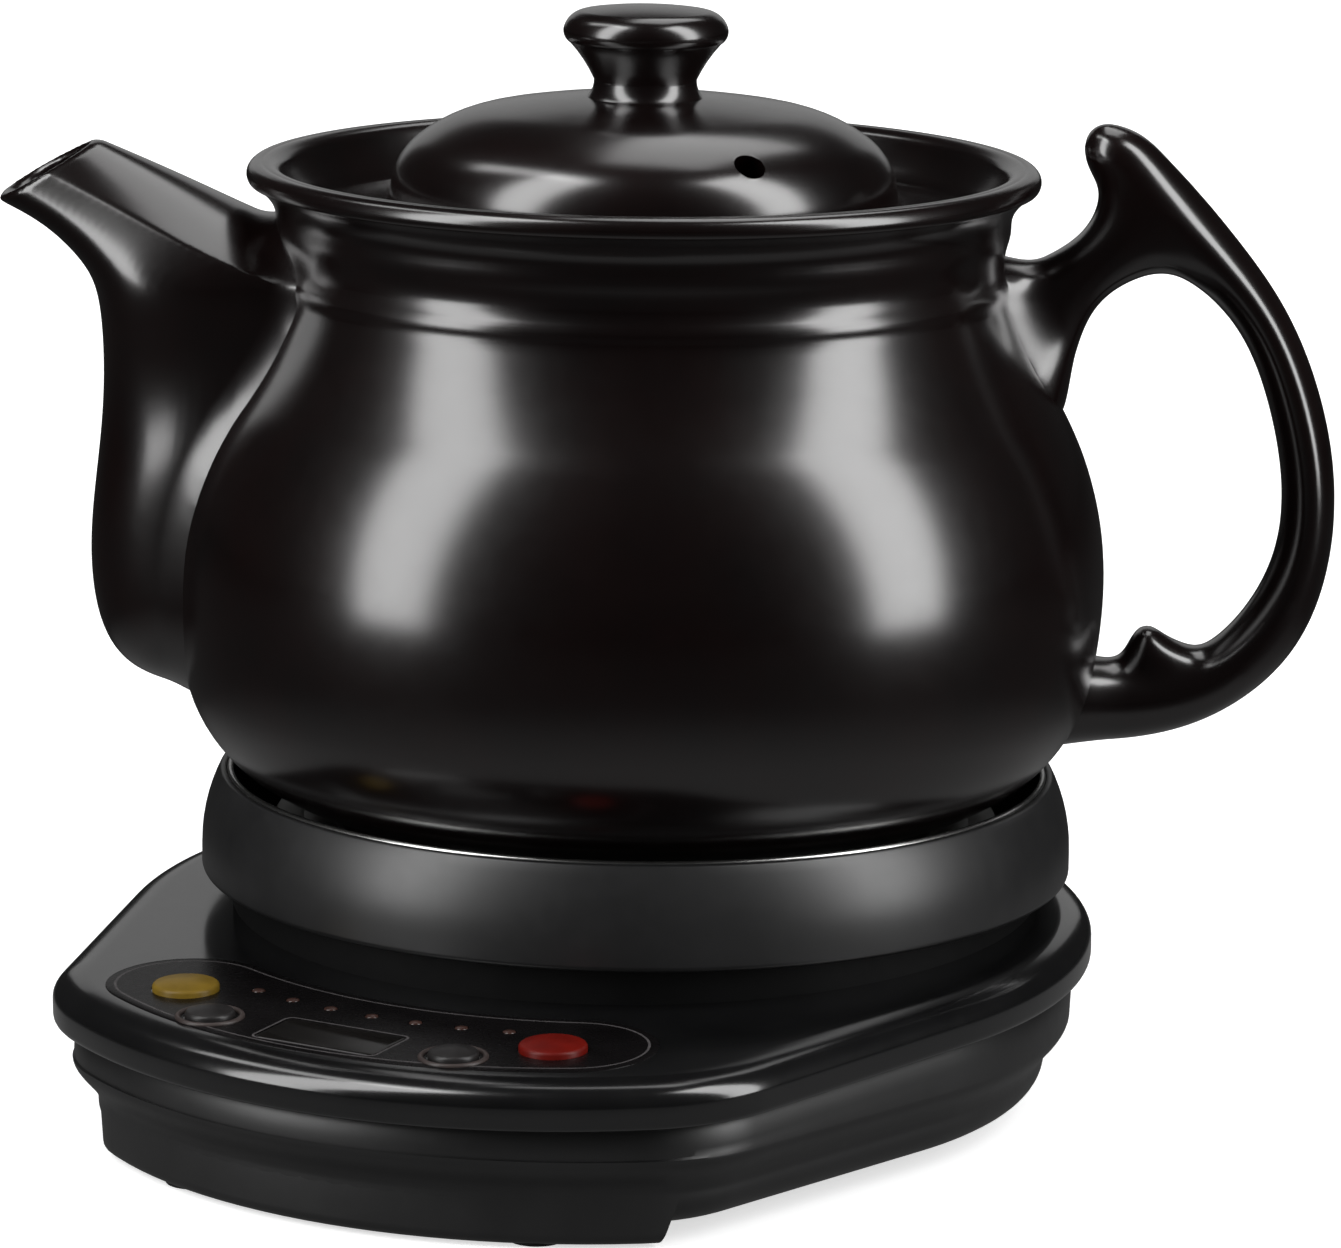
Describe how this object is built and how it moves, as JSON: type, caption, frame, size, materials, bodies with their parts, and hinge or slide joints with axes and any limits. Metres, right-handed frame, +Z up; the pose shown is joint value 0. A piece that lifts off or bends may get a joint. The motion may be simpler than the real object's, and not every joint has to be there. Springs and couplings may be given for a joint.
{
  "type": "electric ceramic kettle",
  "caption": "Black glazed ceramic kettle with spout, loop handle and domed lid, standing in the collar of an electric heating base with a sloping key panel.",
  "frame": {"origin": "middle of the outline box on the table, under the feet", "axes": "+Z up; the spout points along -X and the handle along +X; the panel side of the base faces -Y, turned towards the spout"},
  "size_m": [0.2877, 0.2436, 0.2347],
  "materials": {
    "glaze": "satin black glaze",
    "collar_black": "satin moulded",
    "bright_trim": "brushed",
    "cover_black": "gloss moulded",
    "shell_black": "fine texture",
    "panel_film": "printed film",
    "ring_grey": "moulded",
    "key_red": "moulded",
    "key_yellow": "moulded",
    "key_dark": "moulded",
    "window_smoke": "smoked",
    "rubber": "moulded",
    "plate_metal": "ground",
    "element_metal": "cast",
    "sensor_plastic": "moulded",
    "spring_steel": "drawn wire",
    "board_green": "coated board",
    "module_black": "moulded",
    "light_clear": "clear lens",
    "lead_sleeve": "sleeved",
    "ribbon_grey": "flat cable",
    "screw_zinc": "plated"
  },
  "bodies": {
    "base": {"heater_collar": "collar_black", "collar_trim": "bright_trim", "locating_clips": "bright_trim", "plate_supports": "bright_trim", "inlet_pins": "bright_trim", "base_top_cover": "cover_black", "base_bottom_cover": "shell_black", "control_panel": "panel_film", "key_bezels": "ring_grey", "display_window": "window_smoke", "rubber_feet": "rubber", "heating_plate": "plate_metal", "heat_reflector": "plate_metal", "heating_element": "element_metal", "sensor_guide": "sensor_plastic", "thermal_cutout": "sensor_plastic", "terminal_block": "sensor_plastic", "sensor_spring": "spring_steel", "control_board": "board_green", "power_board": "board_green", "display_module": "module_black", "key_switches": "module_black", "power_relay": "module_black", "transformer": "module_black", "capacitors": "module_black", "inlet_socket": "module_black", "indicator_lights": "light_clear", "heater_leads": "lead_sleeve", "inlet_leads": "lead_sleeve", "panel_ribbon": "ribbon_grey", "cover_screws": "screw_zinc", "heater_screws": "screw_zinc", "board_screws": "screw_zinc"},
    "kettle": {"kettle_body": "glaze", "spout": "glaze", "handle": "glaze"},
    "lid_body": {"lid": "glaze", "lid_knob": "glaze"},
    "start_key_body": {"start_key": "key_red"},
    "mode_key_body": {"mode_key": "key_yellow"},
    "minus_key_body": {"minus_key": "key_dark"},
    "plus_key_body": {"plus_key": "key_dark"},
    "sensor_body": {"sensor_plunger": "plate_metal"}
  },
  "joints": [
    {"name": "kettle_lift", "type": "slide", "parent": "base", "child": "kettle", "axis": [0, 0, 1], "range_m": [0, 0.12]},
    {"name": "lid_lift", "type": "slide", "parent": "kettle", "child": "lid_body", "axis": [0, 0, 1], "range_m": [0, 0.1]},
    {"name": "start_press", "type": "slide", "parent": "base", "child": "start_key_body", "axis": [-0.0151, -0.0295, 0.9995], "range_m": [-0.0006, 0], "stiffness_N_per_m": 200, "springref_m": 0.0004},
    {"name": "mode_press", "type": "slide", "parent": "base", "child": "mode_key_body", "axis": [-0.0151, -0.0295, 0.9995], "range_m": [-0.0006, 0], "stiffness_N_per_m": 200, "springref_m": 0.0004},
    {"name": "minus_press", "type": "slide", "parent": "base", "child": "minus_key_body", "axis": [-0.0151, -0.0295, 0.9995], "range_m": [-0.0006, 0], "stiffness_N_per_m": 200, "springref_m": 0.0004},
    {"name": "plus_press", "type": "slide", "parent": "base", "child": "plus_key_body", "axis": [-0.0151, -0.0295, 0.9995], "range_m": [-0.0006, 0], "stiffness_N_per_m": 200, "springref_m": 0.0004},
    {"name": "sensor_press", "type": "slide", "parent": "base", "child": "sensor_body", "axis": [0, 0, 1], "range_m": [-0.0015, 0], "stiffness_N_per_m": 300, "springref_m": 0.002, "deforming": ["sensor_spring"]}
  ]
}
